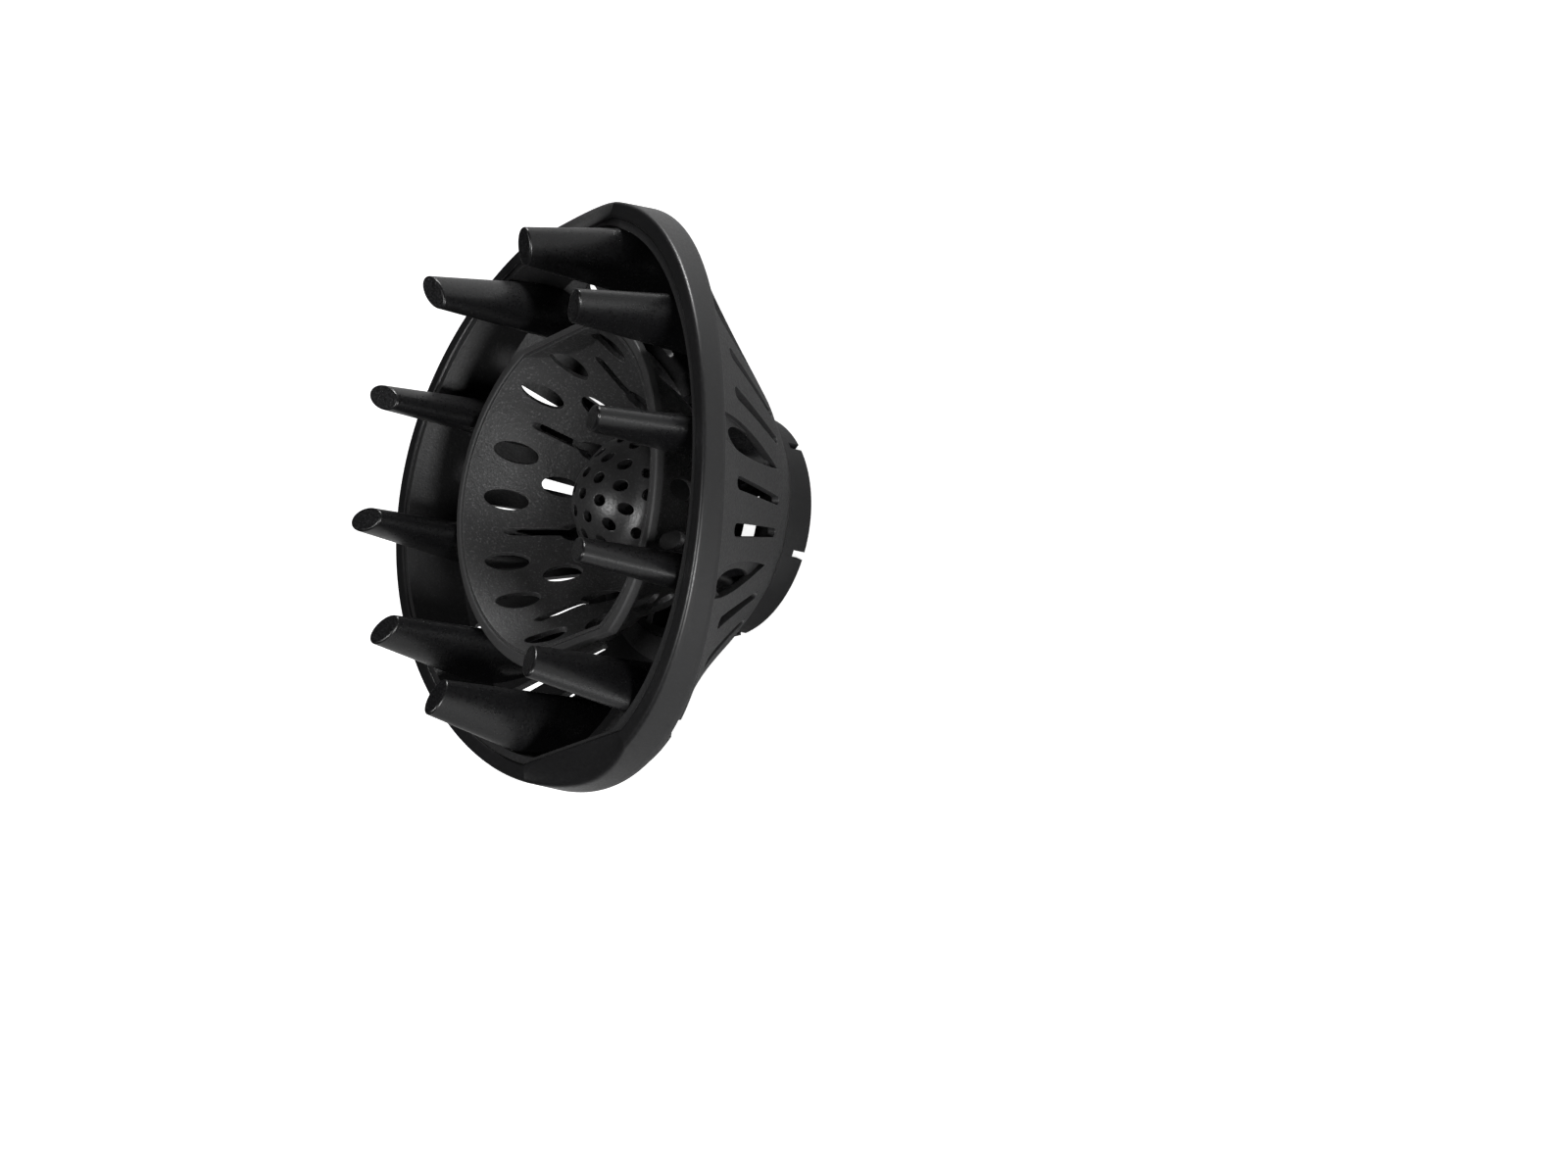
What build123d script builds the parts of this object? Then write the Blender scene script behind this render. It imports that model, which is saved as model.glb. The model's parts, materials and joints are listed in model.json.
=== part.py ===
from build123d import *
import os
from math import atan2, cos, degrees, hypot, pi, radians, sin

os.makedirs("parts", exist_ok=True)

# Millimetres. +Z is the diffuser's axis with the fingers pointing up, X is the short
# way across the oval rim, and Z = 0 is the rear face of the spigot that plugs into the
# dryer. The rim is bowed like a saddle: it drops toward +Y and -Y.

# --- levels along the axis ---
SPIGOT_LEN = 9.0
BAND_LEN = 3.5
SKIRT_BASE_Z = SPIGOT_LEN
SHELL_REAR_Z = SPIGOT_LEN + BAND_LEN
RIM_Z = 63.3
FINGER_TIP_Z = RIM_Z + 20.7
BOWL_RIM_Z = RIM_Z - 3.4
DOME_APEX_Z = RIM_Z - 12.5
DECK_Z = 19.3

# --- rim ring ---
RIM_A, RIM_B = 66.0, 74.7
RIM_FLARE = 0.045
RIM_BAND = 3.9
RIM_WALL = 2.0
RIM_ROOF = 2.2
RIM_CHORD_Y = 66.9
RIM_FRONT_RADIUS = 303.0
RIM_REAR_RADIUS = 218.0
RIM_SIDE_HEIGHT = 6.6
FACET_HALF_WIDTH = 20.8
FACET_SLOPE_END = 0.2
FACET_SLOPE_GAIN = 0.49
FACET_SLOPE_POWER = 0.6
FIT = 0.1
EDGE_ROUND = 0.5

# --- outer shell ---
SKIRT_R_REAR = 32.5
SKIRT_R_FRONT = 63.8
SKIRT_RISE = 47.3
SKIRT_POWER = 0.86
SKIRT_OVAL = 0.13
SKIRT_DROP = 13.7
SADDLE_SPAN = 66.0
WALL = 1.9
LIP_WIDTH = 1.0
LIP_DROP = 0.5
SIDE_DRAFT, END_DRAFT, CHORD_DRAFT = 0.268, 0.13, 0.105
CAVITY_RISE = 25.0
THROAT_R = 32.0
THROAT_LEN = 5.0
STEP_Z, STEP_INSET = 18.0, 0.35

# --- vents in the skirt ---
SLOT_WIDTH, SLOT_REAR_WIDTH = 3.4, 2.3
SLOT_FROM, SLOT_TO = 0.24, 0.80
SLOT_ANGLES = (0.0, 12.0, 37.0, 47.5, 69.0, 79.5)
SCOOP_FROM, SCOOP_TO = 0.27, 1.10
SCOOP_WIDTH = 8.0
SCOOP_LIP = 0.7
SCOOP_RAISE = 0.35
SCOOP_DEPTH = 1.3

# --- fingers ---
FINGER_ANGLES = (24.0, 58.0, 90.0, 122.0, 156.0)
FINGER_A, FINGER_B = 49.0, 58.7
FINGER_DROP = 2.1
TIP_RADIAL, TIP_TANGENT = 4.75, 3.05
RADIAL_TAPER, TANGENT_TAPER = 0.115, 0.045
FINGER_LEAN = 0.08
FINGER_TURN = 0.79
FINGER_DEPTH = 78.0
FINGER_WALL = 1.5
TIP_THICKNESS = 3.2
TIP_TILT_DEG = 18.8
TIP_FILLET = 0.6

# --- bowl insert and its rim ring ---
BOWL_A, BOWL_B = 42.8, 46.6
BOWL_FRONT_RADIUS = 357.0
BOWL_CHORD_Y = 42.0
BOWL_BAND = 1.9
BOWL_RING_HEIGHT = 2.4
BOWL_WALL = 1.6
BOWL_LIP = 0.8
BOWL_LIP_DROP = 0.3
BOWL_PROFILE = (
    (40.1, RIM_Z),
    (39.9, 59.3),
    (39.1, 54.3),
    (37.4, 48.2),
    (34.2, 42.3),
    (30.4, 36.7),
    (27.3, 30.7),
    (24.1, 24.6),
    (21.5, DECK_Z),
)
BOWL_ROUND_Z = 36.7
BOWL_SLOT_WIDTH = 2.0
BOWL_SLOT_R = (27.5, 37.5)
BOWL_SLOT_COUNT = 8
BOWL_END_HOLE_D = 5.0
OUTER_OVAL = {"radius": 37.6, "z": 48.2, "lean": 22.2, "long": 12.3, "wide": 5.3}
INNER_OVAL = {"radius": 30.3, "z": 36.6, "lean": 30.7, "long": 10.5, "wide": 5.0}
OUTER_OVAL_ANGLE, INNER_OVAL_ANGLE = 13.0, 22.5

# --- dome grille ---
DOME_R = 16.8
DOME_PROFILE = ((5.9, 1.4), (10.2, 4.2), (13.4, 7.4))
DOME_EDGE_DROP = 13.5
DOME_WALL = 1.5
DOME_PITCH = 5.9
DOME_HOLE_D = 3.0
DOME_OUTER_HOLE = (15.1, 9.6, 40.0)
DOME_OUTER_ANGLES = (10.9, 49.1)

# --- spider, collar and spigot ---
DECK_INNER_R, DECK_OUTER_R, DECK_THICKNESS = 15.3, 24.5, 2.0
SPOKE_COUNT, SPOKE_WIDTH, SPOKE_HEIGHT = 6, 2.4, 5.0
SLEEVE_INNER_R = 29.5
SPIGOT_R, SPIGOT_WALL = 29.0, 2.5
SPIGOT_SLITS, SLIT_WIDTH, SLIT_LEN = 6, 2.0, 3.5
SLEEVE_TOP_Z = 17.3
FLANGE = 1.5
BAND_INSET = 0.5


def single_solid(shape):
    """The one solid of a shape, without any crumbs a cut may leave."""
    return max(shape.solids(), key=lambda solid: solid.volume)


def arch(top_z, radius):
    """Everything below a cylinder that lies along X and peaks at top_z."""
    return Pos(0, 0, top_z - radius) * Rot(0, 90, 0) * Cylinder(radius, 240)


def flat_oval(a, b, chord_y):
    """Ellipse with its two Y ends cut straight."""
    return Ellipse(a, b) & Rectangle(4 * a, 2 * chord_y)


def column(low, high, z_low, z_high):
    """Straight-sided solid between two sketches at two levels."""
    return loft([Pos(0, 0, z_low) * low, Pos(0, 0, z_high) * high], ruled=True)


# ---------------------------------------------------------------- skirt surface
def skirt_point(t, angle_deg, inset=0.0):
    """Point of the skirt's surface: t runs from the rear edge (0) to the rim (1)."""
    radius = SKIRT_R_REAR + (SKIRT_R_FRONT - SKIRT_R_REAR) * t**SKIRT_POWER - 0.75 * inset
    x = radius * sin(radians(angle_deg))
    y = radius * (1 + SKIRT_OVAL * t) * cos(radians(angle_deg))
    z = SKIRT_BASE_Z + SKIRT_RISE * t - SKIRT_DROP * t * (y / SADDLE_SPAN) ** 2
    return Vector(x, y, z + 0.7 * inset)


def skirt_section(t, inset):
    points = [skirt_point(t, k * 22.5, inset) for k in range(16)]
    return Wire([Edge.make_spline(points, periodic=True)])


def skirt_solid(inset=0.0):
    """Solid inside the skirt's surface, carried on above the rim to a flat top."""
    sections = [skirt_section(t, inset) for t in (0.0, 0.12, 0.3, 0.5, 0.75, 1.0)]
    top = Pos(0, 0, 1.6 * RIM_Z) * Wire(Ellipse(92, 118).edges())
    points = [top @ ((k / 16 + 0.25) % 1.0) for k in range(16)]
    ordered = sorted(points, key=lambda p: atan2(p.X, p.Y) % (2 * pi))
    return Solid.make_loft(sections + [Wire([Edge.make_spline(ordered, periodic=True)])])


# ---------------------------------------------------------------- rim ring
def rim_outer():
    drop = 30.0
    flare = RIM_FLARE * drop
    top = Ellipse(RIM_A, RIM_B)
    low = Ellipse(RIM_A + flare, RIM_B + flare)
    return column(low, top, RIM_Z - drop, RIM_Z)


def facet_section(u):
    """Wedge above the facet's surface on the plane x = u * half width."""
    slope = FACET_SLOPE_END + FACET_SLOPE_GAIN * max(0.0, 1 - u * u) ** FACET_SLOPE_POWER
    z_chord = RIM_Z - RIM_CHORD_Y**2 / (2 * RIM_FRONT_RADIUS)
    reach = 16.0
    x = u * FACET_HALF_WIDTH
    corners = [
        (x, RIM_CHORD_Y, z_chord),
        (x, RIM_CHORD_Y + reach, z_chord - slope * reach),
        (x, RIM_CHORD_Y + reach, RIM_Z + 5),
        (x, RIM_CHORD_Y, RIM_Z + 5),
    ]
    return Wire.make_polygon(corners, close=True)


def facet_cutter(lower=0.0):
    steps = (-1.0, -0.93, -0.75, -0.4, 0.0, 0.4, 0.75, 0.93, 1.0)
    cutter = Solid.make_loft([facet_section(u) for u in steps])
    cutter = Pos(0, 0, -lower) * cutter
    return cutter + cutter.mirror(Plane.XZ)


def edges_on_arch(solid, top_z, radius, half_width):
    """Edges that lie on an arch and stay inside a half width measured along Y."""
    found = []
    for edge in solid.edges():
        points = [edge @ (k / 4) for k in range(5)]
        heights = [top_z - radius + (radius**2 - p.Y**2) ** 0.5 for p in points]
        if all(abs(p.Z - z) < 0.02 and abs(p.Y) < half_width for p, z in zip(points, heights)):
            found.append(edge)
    return found


def make_rim_ring():
    inner_a, inner_b = RIM_A - RIM_BAND, RIM_B - RIM_BAND
    opening = extrude(flat_oval(inner_a, inner_b, RIM_CHORD_Y), 2 * RIM_Z)
    rear = arch(RIM_Z - RIM_SIDE_HEIGHT, RIM_REAR_RADIUS)
    ring = (rim_outer() & arch(RIM_Z, RIM_FRONT_RADIUS)) - opening - rear - facet_cutter()
    ring = single_solid(ring - rim_channel(0.0))
    inner = edges_on_arch(ring, RIM_Z, RIM_FRONT_RADIUS, RIM_CHORD_Y + 0.01)
    return fillet(inner, EDGE_ROUND)


def rim_channel(gap):
    """Space under the rim's roof, less a gap all round: the shell's edge fills it."""
    a, b = RIM_A - RIM_WALL - gap, RIM_B - RIM_WALL - gap
    roof = RIM_ROOF + gap
    space = extrude(Ellipse(a, b), 2 * RIM_Z) & arch(RIM_Z - roof, RIM_FRONT_RADIUS - roof)
    return space - facet_cutter(roof)


# ---------------------------------------------------------------- outer shell
def shell_cavity():
    """Space inside the grained wall, which closes in toward the rear, and above the skirt.

    It is carried on above the rim, so that it also trims the fingers."""
    levels = []
    for z in (SHELL_REAR_Z, RIM_Z + CAVITY_RISE):
        rise = z - RIM_Z
        a = RIM_A - RIM_BAND - LIP_WIDTH - FIT + SIDE_DRAFT * rise
        b = RIM_B - RIM_BAND - LIP_WIDTH - FIT + END_DRAFT * rise
        levels.append(flat_oval(a, b, RIM_CHORD_Y + CHORD_DRAFT * rise))
    walls = column(levels[0], levels[1], SHELL_REAR_Z, RIM_Z + CAVITY_RISE)
    return walls & skirt_solid(WALL)


def shell_lip():
    """Thin edge of the shell that stands beside the rim's band."""
    a, b = RIM_A - RIM_BAND - FIT, RIM_B - RIM_BAND - FIT
    edge = Pos(0, 0, SHELL_REAR_Z) * extrude(flat_oval(a, b, RIM_CHORD_Y - FIT), RIM_Z)
    return edge & arch(RIM_Z - LIP_DROP, RIM_FRONT_RADIUS)


def on_skirt(sketch_maker, t_from, t_to, angle, depth_out, depth_in):
    """Prism square to the skirt, with its sketch's X along the skirt toward the rim."""
    start, end = skirt_point(t_from, angle), skirt_point(t_to, angle)
    side = skirt_point((t_from + t_to) / 2, angle + 1) - skirt_point((t_from + t_to) / 2, angle - 1)
    along = end - start
    normal = along.cross(side).normalized()
    if normal.dot(Vector(start.X, start.Y, 0)) < 0:
        normal = normal * -1
    middle = skirt_point((t_from + t_to) / 2, angle)
    plane = Plane(origin=middle, x_dir=along, z_dir=normal)
    sketch = sketch_maker(along.length)
    return plane * extrude(sketch, depth_out) + plane * extrude(sketch, -depth_in)


def slot_sketch(length):
    """Slot with round ends, narrower toward the rear."""
    front, rear = SLOT_WIDTH / 2, SLOT_REAR_WIDTH / 2
    ends = Pos(length / 2 - front, 0) * Circle(front) + Pos(rear - length / 2, 0) * Circle(rear)
    return make_hull(ends.edges())


def leaf_maker(margin):
    """Maker of a leaf sketch of a given length: pointed at the rear, blunt at the rim."""

    def leaf_sketch(length):
        half, wide = length / 2 + margin, SCOOP_WIDTH / 2 + margin
        blunt = 0.6 * wide
        front = half - 0.45 * wide
        left = Spline((-half, 0), (-0.35 * half, 0.72 * wide), (0.4 * half, wide), (front, blunt))
        right = Spline((-half, 0), (-0.35 * half, -0.72 * wide), (0.4 * half, -wide), (front, -blunt))
        tip = ThreePointArc((front, blunt), (half, 0), (front, -blunt))
        return make_face([left, right, tip])

    return leaf_sketch


def mirrored_angles(angles):
    """The angles given on the +X side, with their images on the -X side."""
    return sorted({round(sign * a % 360, 3) for a in angles for sign in (1, -1)})


def slot_angles():
    return mirrored_angles(SLOT_ANGLES + tuple(180 - a for a in SLOT_ANGLES))


def scoop_prisms(margin, depth_out, depth_in):
    leaf = leaf_maker(margin)
    angles = mirrored_angles(FINGER_ANGLES)
    return [on_skirt(leaf, SCOOP_FROM, SCOOP_TO, angle, depth_out, depth_in) for angle in angles]


def make_outer_shell():
    skin = skirt_solid() + (skirt_solid(-SCOOP_RAISE) & scoop_prisms(SCOOP_LIP, 4, 6))
    body = (skin & rim_channel(FIT)) + (skirt_solid() & shell_lip())
    throat = Pos(0, 0, SHELL_REAR_Z + THROAT_LEN / 2) * Cylinder(THROAT_R, THROAT_LEN)
    body -= shell_cavity() - Pos(0, 0, SHELL_REAR_Z) * extrude(Circle(40), THROAT_LEN)
    body -= throat
    body -= extrude(Rectangle(200, 200), STEP_Z) - skirt_solid(STEP_INSET)
    body -= extrude(Rectangle(200, 200), SHELL_REAR_Z)
    body -= [on_skirt(slot_sketch, SLOT_FROM, SLOT_TO, a, 8, 12) for a in slot_angles()]
    inner_skin = skirt_solid(SCOOP_DEPTH)
    hollows = [finger_hollow(a) for a in mirrored_angles(FINGER_ANGLES)]
    for prism, hollow in zip(scoop_prisms(0.0, 8, 8), hollows):
        body -= prism - inner_skin
        body -= prism & hollow
    return body


# ---------------------------------------------------------------- fingers
def finger_frame(angle):
    """Centre of the slanted tip, and the angle that its long side points along."""
    x = FINGER_A * sin(radians(angle))
    y = FINGER_B * cos(radians(angle))
    z = FINGER_TIP_Z - FINGER_DROP * (y / SADDLE_SPAN) ** 2
    return Pos(x, y, z), degrees(atan2(FINGER_TURN * y, x))


def finger_cone(angle, top, shrink):
    """Oval cone from a level above the tip down through the skirt, its root farther out."""
    place, turn = finger_frame(angle)
    sections = []
    for depth in (-top, FINGER_DEPTH):
        radial = TIP_RADIAL - shrink + RADIAL_TAPER * depth
        tangent = TIP_TANGENT - shrink + TANGENT_TAPER * depth
        level = place * Rot(0, 0, turn) * Pos(FINGER_LEAN * depth, 0, -depth)
        sections.append(level * Ellipse(radial, tangent))
    return loft(sections, ruled=True)


def finger_hollow(angle):
    return finger_cone(angle, -TIP_THICKNESS, FINGER_WALL)


def make_finger(angle):
    place, turn = finger_frame(angle)
    size = 3 * FINGER_DEPTH
    cut = Rot(0, 0, turn) * Rot(0, -TIP_TILT_DEG, 0) * Pos(0, 0, -size / 2)
    cone = finger_cone(angle, 3.0, 0.0) & (place * cut * Box(size, size, size))
    tip_face = cone.faces().sort_by(Axis.Z)[-1]
    cone = fillet(tip_face.edges(), TIP_FILLET)
    return (cone & shell_cavity()) - finger_hollow(angle)


# ---------------------------------------------------------------- bowl and its ring
def bowl_loft(grow):
    """Funnel solid: oval at the rim, round lower down, grown outward by a margin."""
    sections = []
    for radius, z in BOWL_PROFILE:
        share = max(0.0, (z - BOWL_ROUND_Z) / (RIM_Z - BOWL_ROUND_Z))
        stretch = 1.0001 + (BOWL_B / BOWL_A - 1) * share
        sections.append(Pos(0, 0, z) * Ellipse(radius * stretch + grow, radius + grow, rotation=90))
    funnel = loft(sections[::-1])
    chord = BOWL_CHORD_Y - BOWL_BAND - BOWL_LIP - FIT + grow
    return funnel & Box(200, 2 * chord, 400)


def oval_prism(oval):
    """Elliptic prism square to the bowl's wall, long way up the wall, on the +X side."""
    prism = extrude(Ellipse(oval["long"] / 2, oval["wide"] / 2), 5, both=True)
    return Pos(oval["radius"], 0, oval["z"]) * Rot(0, 90 + oval["lean"], 0) * prism


def bowl_drills():
    """Keyhole slots along the axis, and oval holes square to the wall."""
    r_in, r_out = BOWL_SLOT_R
    slot = Pos((r_in + r_out) / 2, 0) * SlotOverall(r_out - r_in, BOWL_SLOT_WIDTH)
    keyhole = slot + Pos(r_in, 0) * Circle(BOWL_END_HOLE_D / 2)
    tools = [
        (Pos(0, 0, DECK_Z + 4) * extrude(keyhole, RIM_Z), 0.0),
        (oval_prism(OUTER_OVAL), OUTER_OVAL_ANGLE),
        (oval_prism(OUTER_OVAL), -OUTER_OVAL_ANGLE),
        (oval_prism(INNER_OVAL), INNER_OVAL_ANGLE),
    ]
    step = 360 / BOWL_SLOT_COUNT
    turns = [k * step for k in range(BOWL_SLOT_COUNT)]
    return [Rot(0, 0, turn + offset) * tool for tool, offset in tools for turn in turns]


def make_bowl_insert():
    shoulder = arch(BOWL_RIM_Z - BOWL_RING_HEIGHT, BOWL_FRONT_RADIUS)
    edge = arch(BOWL_RIM_Z - BOWL_LIP_DROP, BOWL_FRONT_RADIUS)
    wall = (bowl_loft(BOWL_WALL) & shoulder) + (bowl_loft(BOWL_LIP) & edge)
    return wall - bowl_loft(0.0) - bowl_drills()


def make_bowl_rim_ring():
    low = BOWL_RIM_Z - 14
    outline = flat_oval(BOWL_A, BOWL_B, BOWL_CHORD_Y)
    ring = Pos(0, 0, low) * extrude(outline, 16)
    ring &= arch(BOWL_RIM_Z, BOWL_FRONT_RADIUS)
    ring -= arch(BOWL_RIM_Z - BOWL_RING_HEIGHT, BOWL_FRONT_RADIUS)
    ring = single_solid(ring - bowl_loft(BOWL_LIP + FIT))
    return fillet(edges_on_arch(ring, BOWL_RIM_Z, BOWL_FRONT_RADIUS, BOWL_B), EDGE_ROUND)


# ---------------------------------------------------------------- dome grille
def dome_solid(inset):
    """Round nose with a straight side down to the deck."""
    apex = DOME_APEX_Z - inset
    radius = DOME_R - inset
    shoulder = DOME_APEX_Z - DOME_EDGE_DROP
    scale = radius / DOME_R
    points = [(r * scale, DOME_APEX_Z - drop - inset) for r, drop in DOME_PROFILE]
    nose = Spline((0, apex), *points, (radius, shoulder), tangents=[(1, 0), (0, -1)])
    side = Polyline((radius, shoulder), (radius, DECK_Z), (0, DECK_Z), (0, apex))
    return revolve(Plane.XZ * make_face([nose, side]), Axis.Z)


def dome_holes():
    """Hexagonal field of round holes; the outermost ring is drilled at a slant."""
    holes = []
    drill = Cylinder(DOME_HOLE_D / 2, 60)
    for i in range(-2, 3):
        for j in range(-2, 3):
            x = DOME_PITCH * j * cos(radians(30))
            y = DOME_PITCH * (i + j / 2)
            if hypot(x, y) < 2.1 * DOME_PITCH:
                holes.append(Pos(x, y, DOME_APEX_Z) * drill)
    radius, drop, tilt = DOME_OUTER_HOLE
    short = Cylinder(DOME_HOLE_D / 2, 8)
    for k in range(6):
        for offset in DOME_OUTER_ANGLES:
            turn = Rot(0, 0, 60 * k + offset)
            holes.append(turn * Pos(radius, 0, DOME_APEX_Z - drop) * Rot(0, tilt, 0) * short)
    return holes


def make_dome_grille():
    return dome_solid(0.0) - dome_solid(DOME_WALL) - dome_holes()


# ---------------------------------------------------------------- spider and collar
def tube(r_out, r_in, z_low, z_high):
    ring = Circle(r_out) - Circle(r_in)
    return Pos(0, 0, z_low) * extrude(ring, z_high - z_low)


def make_bowl_spider():
    deck = tube(DECK_OUTER_R, DECK_INNER_R, DECK_Z - DECK_THICKNESS, DECK_Z)
    spoke = Pos(SLEEVE_INNER_R, 0, DECK_Z - SPOKE_HEIGHT / 2)
    spoke *= Box(2 * (SLEEVE_INNER_R - DECK_INNER_R - 1), SPOKE_WIDTH, SPOKE_HEIGHT)
    for k in range(SPOKE_COUNT):
        deck += Rot(0, 0, k * 360 / SPOKE_COUNT) * spoke
    return deck & Cylinder(SLEEVE_INNER_R, 4 * DECK_Z)


def make_coupling_collar():
    band = skirt_solid(BAND_INSET) & tube(50, SLEEVE_INNER_R, SPIGOT_LEN, SHELL_REAR_Z)
    sleeve = tube(THROAT_R - FIT, SLEEVE_INNER_R, SPIGOT_LEN + 1, SLEEVE_TOP_Z)
    flange = tube(THROAT_R - FIT, SPIGOT_R - SPIGOT_WALL, SPIGOT_LEN, SPIGOT_LEN + FLANGE)
    spigot = tube(SPIGOT_R, SPIGOT_R - SPIGOT_WALL, 0, SPIGOT_LEN + 1)
    collar = band + sleeve + flange + spigot
    for k in range(SPIGOT_SLITS):
        slit = Pos(SPIGOT_R, 0, SLIT_LEN / 2) * Box(3 * SPIGOT_WALL, SLIT_WIDTH, SLIT_LEN)
        collar -= Rot(0, 0, 30 + k * 360 / SPIGOT_SLITS) * slit
    return collar


# ---------------------------------------------------------------- write every part
PARTS = {
    "outer_shell": make_outer_shell,
    "rim_ring": make_rim_ring,
    "bowl_insert": make_bowl_insert,
    "bowl_rim_ring": make_bowl_rim_ring,
    "dome_grille": make_dome_grille,
    "bowl_spider": make_bowl_spider,
    "coupling_collar": make_coupling_collar,
}


for name, make in PARTS.items():
    export_step(single_solid(make()), f"parts/{name}.step")

for number, angle in enumerate(mirrored_angles(FINGER_ANGLES), start=1):
    export_step(single_solid(make_finger(angle)), f"parts/finger_{number:02d}.step")
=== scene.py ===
import json
import math

import bmesh
import bpy
from mathutils import Matrix, Vector


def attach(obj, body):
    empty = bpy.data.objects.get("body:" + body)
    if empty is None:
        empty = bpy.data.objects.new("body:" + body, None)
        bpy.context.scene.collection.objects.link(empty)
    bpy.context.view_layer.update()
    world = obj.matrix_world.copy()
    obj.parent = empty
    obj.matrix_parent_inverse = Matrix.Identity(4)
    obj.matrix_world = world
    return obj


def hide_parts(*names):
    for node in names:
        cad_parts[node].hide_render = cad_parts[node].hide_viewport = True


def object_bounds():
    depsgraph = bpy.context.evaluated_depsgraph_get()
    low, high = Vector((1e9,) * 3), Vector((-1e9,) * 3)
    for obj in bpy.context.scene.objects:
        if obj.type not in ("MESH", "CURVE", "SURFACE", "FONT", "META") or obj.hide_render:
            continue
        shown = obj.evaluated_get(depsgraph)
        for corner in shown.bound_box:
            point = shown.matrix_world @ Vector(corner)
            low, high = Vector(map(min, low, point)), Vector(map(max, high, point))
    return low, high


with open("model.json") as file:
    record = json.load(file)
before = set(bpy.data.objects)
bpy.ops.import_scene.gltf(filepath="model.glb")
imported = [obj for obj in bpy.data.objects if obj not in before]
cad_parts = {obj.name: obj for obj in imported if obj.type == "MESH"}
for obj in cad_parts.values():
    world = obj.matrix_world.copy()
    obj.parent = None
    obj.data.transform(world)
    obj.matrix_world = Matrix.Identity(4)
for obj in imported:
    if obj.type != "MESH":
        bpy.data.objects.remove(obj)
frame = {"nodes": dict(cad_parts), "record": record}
cad_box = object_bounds()
nodes = frame["nodes"]
slot_of = {part["node"]: part["material_slot"] for part in frame["record"]["subparts"]}
MM = 0.001


# ---- materials: moulded black plastic in several finishes
GRAIN_SCALE = 1500.0
FLOW_SCALE = 38.0
PIT_SCALE = 2600.0
EDGE_RADIUS = 0.25 * MM
GRAIN_STRENGTH = 0.7


class Tree:
    """A small helper that adds nodes to a material and joins them."""

    def __init__(self, name):
        self.mat = bpy.data.materials.new(name)
        self.mat.use_nodes = True
        self.nodes = self.mat.node_tree.nodes
        self.links = self.mat.node_tree.links
        self.bsdf = self.nodes["Principled BSDF"]
        self.coords = self.add("ShaderNodeTexCoord").outputs["Object"]

    def add(self, kind, **values):
        node = self.nodes.new(kind)
        for key, value in values.items():
            setattr(node, key, value)
        return node

    def join(self, out, socket):
        self.links.new(out, socket)

    def noise(self, scale, detail=2.0, rough=0.5):
        node = self.add("ShaderNodeTexNoise")
        node.inputs["Scale"].default_value = scale
        node.inputs["Detail"].default_value = detail
        node.inputs["Roughness"].default_value = rough
        self.join(self.coords, node.inputs["Vector"])
        return node.outputs["Fac"]

    def remap(self, value, low, high, to_low=0.0, to_high=1.0):
        node = self.add("ShaderNodeMapRange")
        node.inputs["From Min"].default_value = low
        node.inputs["From Max"].default_value = high
        node.inputs["To Min"].default_value = to_low
        node.inputs["To Max"].default_value = to_high
        self.join(value, node.inputs["Value"])
        return node.outputs["Result"]

    def maths(self, kind, first, second):
        node = self.add("ShaderNodeMath", operation=kind)
        for socket, value in zip(node.inputs, (first, second)):
            if isinstance(value, (int, float)):
                socket.default_value = value
            else:
                self.join(value, socket)
        return node.outputs["Value"]

    def blend(self, factor, first, second):
        node = self.add("ShaderNodeMix", data_type="RGBA")
        self.join(factor, node.inputs["Factor"])
        for name, value in (("A", first), ("B", second)):
            if isinstance(value, tuple):
                node.inputs[name].default_value = (*value, 1)
            else:
                self.join(value, node.inputs[name])
        return node.outputs["Result"]

    def bump(self, height, distance, strength, normal):
        node = self.add("ShaderNodeBump")
        node.inputs["Distance"].default_value = distance
        node.inputs["Strength"].default_value = strength
        self.join(height, node.inputs["Height"])
        self.join(normal, node.inputs["Normal"])
        return node.outputs["Normal"]


def scaled(color, factor):
    return tuple(min(1.0, channel * factor) for channel in color)


def rounded_edges(tree):
    """A normal that rounds the edges, and a mask that is 1 on an edge and 0 away from it."""
    bevel = tree.add("ShaderNodeBevel", samples=8)
    bevel.inputs["Radius"].default_value = EDGE_RADIUS
    facing = tree.add("ShaderNodeVectorMath", operation="DOT_PRODUCT")
    tree.join(bevel.outputs["Normal"], facing.inputs[0])
    tree.join(tree.add("ShaderNodeNewGeometry").outputs["Normal"], facing.inputs[1])
    return bevel.outputs["Normal"], tree.remap(facing.outputs["Value"], 0.985, 0.90)


def surface_color(tree, color, edge, speck):
    """Slow flow shade, pale specks of dust and paler edges, which are a painted highlight along the
    rounded edges.
    """
    flow = tree.remap(tree.noise(FLOW_SCALE, 4.0), 0.3, 0.7)
    shade = tree.blend(flow, scaled(color, 0.88), scaled(color, 1.12))
    specks = tree.remap(tree.noise(GRAIN_SCALE * 1.2, 1.0), 0.58, 0.74, 0.0, speck)
    dusty = tree.blend(specks, shade, scaled(color, 3.0))
    # paler edges: a painted highlight along the rounded edges
    return tree.blend(tree.maths("MULTIPLY", edge, 0.7), dusty, scaled(color, 2.4))


def tip_sparkle(tree):
    """A mask of coarse bright pits on the faces that look up, such as the finger tips."""
    lift = tree.add("ShaderNodeSeparateXYZ")
    tree.join(tree.add("ShaderNodeNewGeometry").outputs["Normal"], lift.inputs["Vector"])
    face = tree.remap(lift.outputs["Z"], 0.86, 0.93)
    pits = tree.remap(tree.noise(PIT_SCALE, 1.0), 0.5, 0.68)
    return tree.maths("MULTIPLY", tree.maths("MULTIPLY", face, pits), 0.75)


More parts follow.
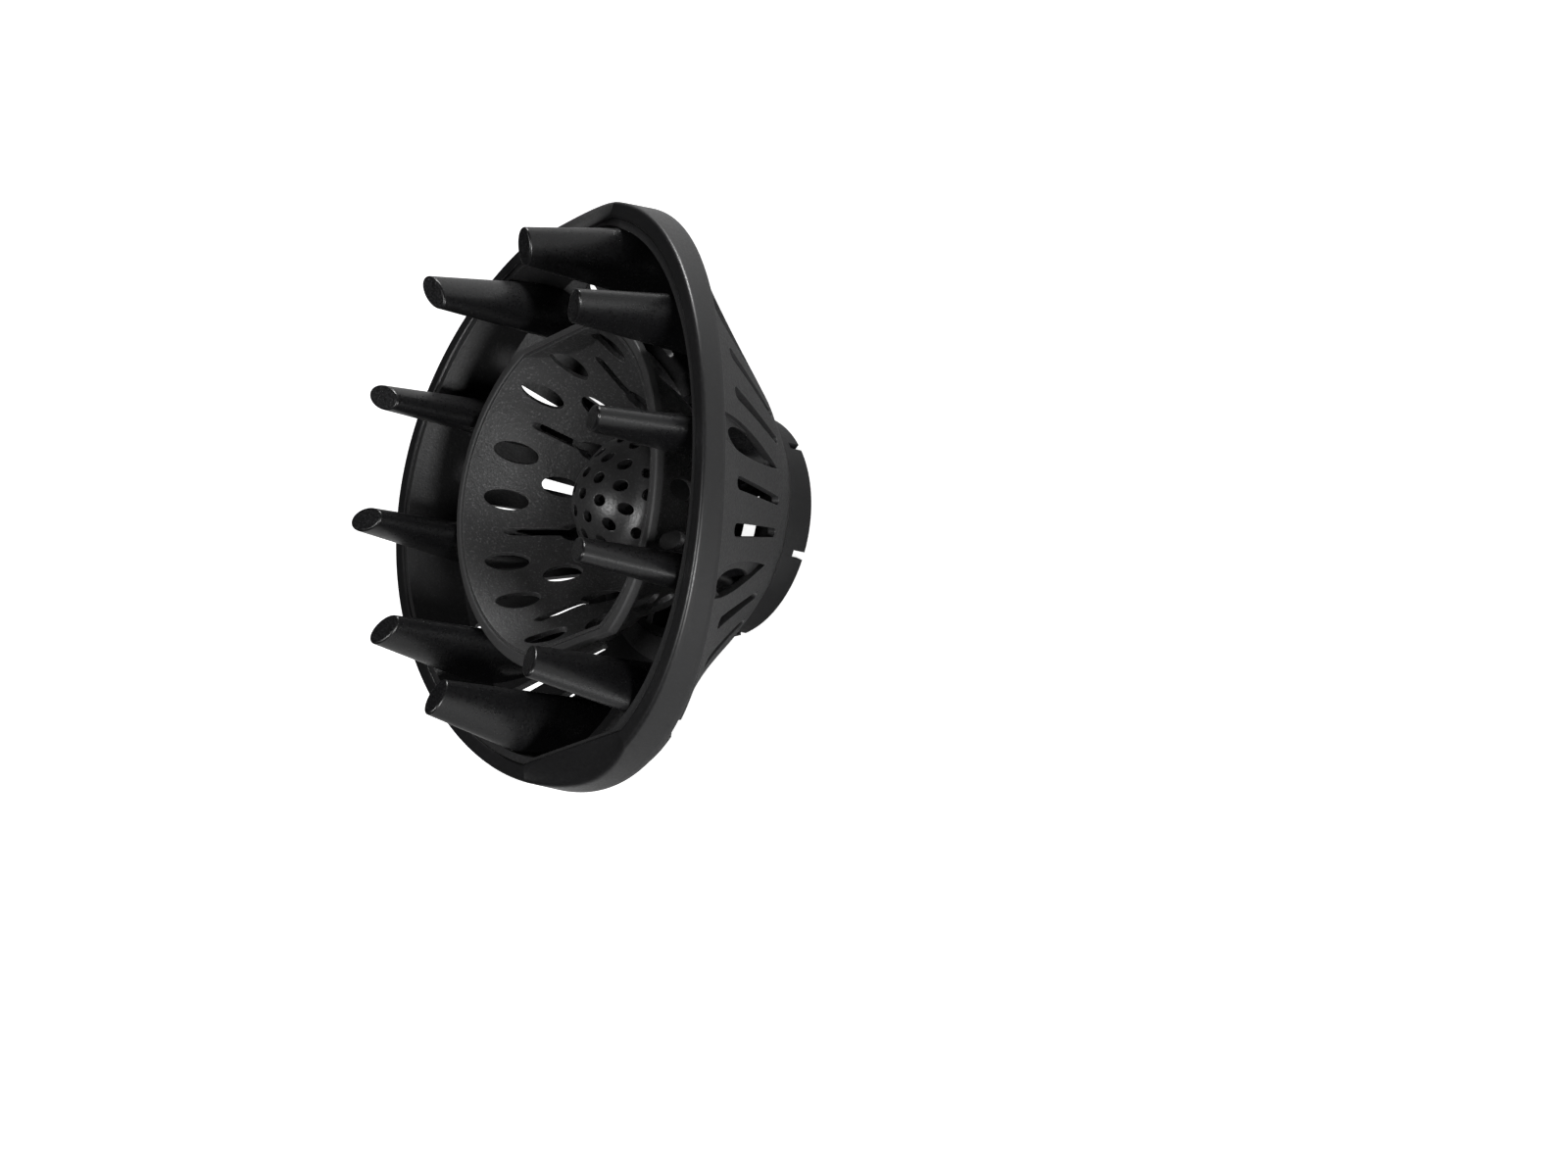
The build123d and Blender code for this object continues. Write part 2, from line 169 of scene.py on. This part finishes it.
def plastic(name, color, rough, depth, tip=False, speck=0.25):
    """Moulded plastic with a spark-eroded grain, whose depth is in millimetres."""
    tree = Tree(name)
    normal, edge = rounded_edges(tree)
    fine = tree.noise(GRAIN_SCALE, 3.0, 0.6)
    coarse = tree.noise(GRAIN_SCALE * 0.38, 2.0)
    height = tree.maths("ADD", tree.maths("MULTIPLY", fine, 0.6), tree.maths("MULTIPLY", coarse, 0.4))
    surface = surface_color(tree, color, edge, speck)
    if tip:
        sparkle = tip_sparkle(tree)
        surface = tree.blend(sparkle, surface, scaled(color, 5.0))
        height = tree.maths("ADD", height, tree.maths("MULTIPLY", sparkle, 1.5))
    roughness = tree.remap(fine, 0.3, 0.7, rough - 0.06, rough + 0.08)
    roughness = tree.maths("SUBTRACT", roughness, tree.maths("MULTIPLY", edge, 0.12))
    tree.join(surface, tree.bsdf.inputs["Base Color"])
    tree.join(roughness, tree.bsdf.inputs["Roughness"])
    tree.join(tree.bump(height, depth * MM, GRAIN_STRENGTH, normal), tree.bsdf.inputs["Normal"])
    return tree.mat


looks = {
    "satin_black": plastic("satin_black", (0.0080, 0.0080, 0.0085), 0.39, 0.03),
    "grained_black": plastic("grained_black", (0.0130, 0.0130, 0.0135), 0.54, 0.24, speck=0.5),
    "bowl_black": plastic("bowl_black", (0.0360, 0.0360, 0.0365), 0.50, 0.36, speck=0.9),
    "finger_black": plastic("finger_black", (0.0048, 0.0048, 0.0052), 0.31, 0.03, tip=True),
    "grille_black": plastic("grille_black", (0.0340, 0.0340, 0.0345), 0.37, 0.14, speck=0.4),
    "inner_black": plastic("inner_black", (0.0060, 0.0060, 0.0065), 0.55, 0.08),
}
# the bowl's ring is in the same slot as the rim, but has a duller finish and a lighter colour; the
# lighter colour is painted light, standing in for the bright band the ring shows under the lamps
bowl_ring_painted_light_look = plastic("bowl_ring_black_painted_light", (0.0360, 0.0360, 0.0365), 0.56, 0.05)


# ---- rim ring with soft edges, in millimetres
RIM_A, RIM_B = 66.0, 74.7
RIM_BAND, RIM_WALL, RIM_ROOF = 3.9, 2.0, 2.2
RIM_Z, RIM_CHORD_Y = 63.3, 66.9
RIM_FRONT_RADIUS, RIM_REAR_RADIUS, RIM_SIDE_HEIGHT = 303.0, 218.0, 6.6
RIM_FLARE = 0.045
FACET_HALF_WIDTH, FACET_SLOPE_END, FACET_SLOPE_GAIN, FACET_FADE = 20.8, 0.2, 0.49, 0.6
OUTER_ROUND, INNER_ROUND = 0.9, 0.6
REAR_GAP, REAR_CHAMFER, REAR_INSET = 0.05, 0.3, 0.003
ROUND_STEPS, SIDE_STEPS = 6, 5
RING_STEPS, CORNER_STEPS, CORNER_SPACING = 480, 12, 0.0015
SMOOTH_ANGLE, WELD_DISTANCE = 40, 1e-7


def arch_height(y, top, radius):
    return top - radius + math.sqrt(radius**2 - y**2)


def front_height(x, y):
    """Front surface of the rim: an arch along Y, with a sloping facet at each end."""
    height = arch_height(y, RIM_Z, RIM_FRONT_RADIUS)
    if abs(x) < FACET_HALF_WIDTH and abs(y) > RIM_CHORD_Y:
        share = max(0.0, 1 - (x / FACET_HALF_WIDTH) ** 2)
        slope = FACET_SLOPE_END + FACET_SLOPE_GAIN * share**FACET_FADE
        chord_z = RIM_Z - RIM_CHORD_Y**2 / (2 * RIM_FRONT_RADIUS)
        height = min(height, chord_z - slope * (abs(y) - RIM_CHORD_Y))
    return height


def outer_point(turn, z):
    """Point of the flared outer side of the rim."""
    flare = RIM_FLARE * (RIM_Z - z)
    return Vector(((RIM_A + flare) * math.sin(turn), (RIM_B + flare) * math.cos(turn), z))


def drawn_in(point, share):
    """The point moved toward the axis by a share of its distance from it."""
    return Vector((point.x * (1 - share), point.y * (1 - share), point.z))


def rim_outside(turn):
    """The underside of the rear edge, then the outer side from there up to the rounding."""
    y = RIM_B * math.cos(turn)
    rear_z = arch_height(y, RIM_Z - RIM_SIDE_HEIGHT, RIM_REAR_RADIUS) + REAR_GAP
    corner = outer_point(turn, rear_z)
    points = [drawn_in(corner, RIM_WALL / RIM_A), drawn_in(corner, REAR_INSET)]
    low = rear_z + REAR_CHAMFER
    high = front_height(RIM_A * math.sin(turn), y) - OUTER_ROUND
    points += [outer_point(turn, low + (high - low) * k / SIDE_STEPS) for k in range(SIDE_STEPS)]
    return points


def rounding(radius):
    """Distances from the edge and from the top along a quarter round, from the side to the top."""
    bends = [math.radians(90 * k / ROUND_STEPS) for k in range(ROUND_STEPS + 1)]
    return [(radius * (1 - math.cos(bend)), radius * (1 - math.sin(bend))) for bend in bends]


def rim_front(turn):
    """The front of the rim from its outer corner to the underside of its roof."""
    outer = Vector((RIM_A * math.sin(turn), RIM_B * math.cos(turn)))
    inner = Vector(((RIM_A - RIM_BAND) * math.sin(turn), (RIM_B - RIM_BAND) * math.cos(turn)))
    inner.y = max(-RIM_CHORD_Y, min(RIM_CHORD_Y, inner.y))
    band = (outer - inner).length
    across = (outer - inner) / band

    def spot(distance, drop):
        place = inner + across * distance
        return Vector((*place, front_height(*place) - drop))

    points = []
    for edge, drop in rounding(OUTER_ROUND):
        corner = spot(band - edge, drop)
        flare = RIM_FLARE * (RIM_Z - corner.z)
        points.append(corner + flare * Vector((math.sin(turn), math.cos(turn), 0)))
    flat = band - INNER_ROUND - OUTER_ROUND
    points += [spot(INNER_ROUND + flat * share, 0.0) for share in (0.75, 0.5, 0.25)]
    points += [spot(edge, drop) for edge, drop in reversed(rounding(INNER_ROUND))]
    points += [spot(0.0, RIM_ROOF), spot(band - RIM_WALL, RIM_ROOF)]
    return points


def ring_turns():
    """Turns all round, closer together where the facets end."""
    turns = {round(2 * math.pi * k / RING_STEPS, 5) for k in range(RING_STEPS)}
    corner = math.asin(FACET_HALF_WIDTH / RIM_A)
    for middle in (corner, math.pi - corner, math.pi + corner, 2 * math.pi - corner):
        for k in range(-CORNER_STEPS, CORNER_STEPS + 1):
            turns.add(round(middle + CORNER_SPACING * k, 5))
    return sorted(turns)


def loft_mesh(name, sections):
    """Closed mesh through a ring of sections that all have the same number of points."""
    count, total = len(sections[0]), len(sections)
    verts = [point * MM for section in sections for point in section]
    faces = []
    for i in range(total):
        j = (i + 1) % total
        for k in range(count):
            m = (k + 1) % count
            faces.append((i * count + k, j * count + k, j * count + m, i * count + m))
    mesh = bpy.data.meshes.new(name)
    mesh.from_pydata(verts, [], faces)
    return mesh


def tidy_mesh(mesh):
    """Merges doubles, faces the normals outward and keeps only the sharper edges sharp."""
    bm = bmesh.new()
    bm.from_mesh(mesh)
    bmesh.ops.remove_doubles(bm, verts=bm.verts, dist=WELD_DISTANCE)
    bmesh.ops.recalc_face_normals(bm, faces=bm.faces)
    limit = math.radians(SMOOTH_ANGLE)
    for face in bm.faces:
        face.smooth = True
    for edge in bm.edges:
        edge.smooth = len(edge.link_faces) == 2 and edge.calc_face_angle(0.0) < limit
    bm.to_mesh(mesh)
    bm.free()


def add_piece(name, mesh, node):
    piece = bpy.data.objects.new(name, mesh)
    bpy.context.scene.collection.objects.link(piece)
    piece.data.materials.append(looks[slot_of[node]])
    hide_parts(node)
    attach(piece, "root")


rim_sections = [rim_outside(turn) + rim_front(turn) for turn in ring_turns()]
rim_mesh = loft_mesh("rim_ring_soft", rim_sections)
tidy_mesh(rim_mesh)
add_piece("rim_ring_soft", rim_mesh, "rim_ring")

# each CAD part gets its slot's look, but the bowl's ring gets the copy whose lighter colour is painted
# light
for name, obj in nodes.items():
    obj.data.materials.clear()
    obj.data.materials.append(bowl_ring_painted_light_look if name == "bowl_rim_ring" else looks[slot_of[name]])


# ---- stage: pale floor and soft studio light
FLOOR_SIZE, FLOOR_GAP = 14, 0.2 * MM
LIGHT_TARGET = (0, 0, 0.045)


def make_floor():
    bpy.ops.mesh.primitive_plane_add(size=FLOOR_SIZE, location=(0, 0, cad_box[0][2] - FLOOR_GAP))
    floor = bpy.context.object
    floor.name = "floor"
    tree = Tree("floor_white")
    tree.bsdf.inputs["Roughness"].default_value = 0.9
    cloud = tree.remap(tree.noise(3.0), 0.3, 0.7)
    tree.join(tree.blend(cloud, (0.78, 0.78, 0.78), (0.82, 0.82, 0.82)), tree.bsdf.inputs["Base Color"])
    tree.bsdf.inputs["Emission Color"].default_value = (1, 1, 1, 1)
    path = tree.add("ShaderNodeLightPath")
    glow = tree.maths("MULTIPLY", path.outputs["Is Camera Ray"], 0.9)
    tree.join(glow, tree.bsdf.inputs["Emission Strength"])
    floor.data.materials.append(tree.mat)


def make_world(strength):
    world = bpy.data.worlds.new("studio")
    bpy.context.scene.world = world
    world.use_nodes = True
    background = world.node_tree.nodes["Background"]
    background.inputs["Color"].default_value = (1, 1, 1, 1)
    background.inputs["Strength"].default_value = strength


def area_light(name, place, size, power):
    data = bpy.data.lights.new(name, "AREA")
    data.shape = "DISK"
    data.size = size
    data.energy = power
    light = bpy.data.objects.new(name, data)
    light.location = place
    light.rotation_euler = (Vector(LIGHT_TARGET) - Vector(place)).to_track_quat("-Z", "Y").to_euler()
    bpy.context.scene.collection.objects.link(light)


make_floor()
make_world(0.008)
area_light("key", (1.15, -0.90, 0.30), 0.4, 18)
area_light("front", (0.12, -0.42, 1.30), 0.3, 9.5)
area_light("top", (0.40, 1.25, 0.1), 0.5, 23)


# ---- camera: a long lens from the front and one side
VIEW_TARGET = (0, 0, RIM_Z * MM)
VIEW_TOWARD, VIEW_UP = (0.76891, -0.30662, 0.56104), (0.25502, 0.95176, 0.17065)
VIEW_DISTANCE = 1.133
LENS, SENSOR = 103.725, 36
SHIFT_X, SHIFT_Y = 0.15418, -0.06601


def make_camera():
    toward = Vector(VIEW_TOWARD).normalized()
    right = Vector(VIEW_UP).cross(toward).normalized()
    up = toward.cross(right).normalized()
    data = bpy.data.cameras.new("camera")
    camera = bpy.data.objects.new("camera", data)
    bpy.context.scene.collection.objects.link(camera)
    spin = Matrix((right, up, toward)).transposed()
    place = Vector(VIEW_TARGET) + VIEW_DISTANCE * toward
    camera.matrix_world = Matrix.Translation(place) @ spin.to_4x4()
    data.sensor_width = SENSOR
    data.lens = LENS
    data.shift_x = SHIFT_X
    data.shift_y = SHIFT_Y
    data.clip_start = 0.01
    data.dof.use_dof = False
    bpy.context.scene.camera = camera


make_camera()
bpy.context.scene.view_settings.view_transform = "Standard"
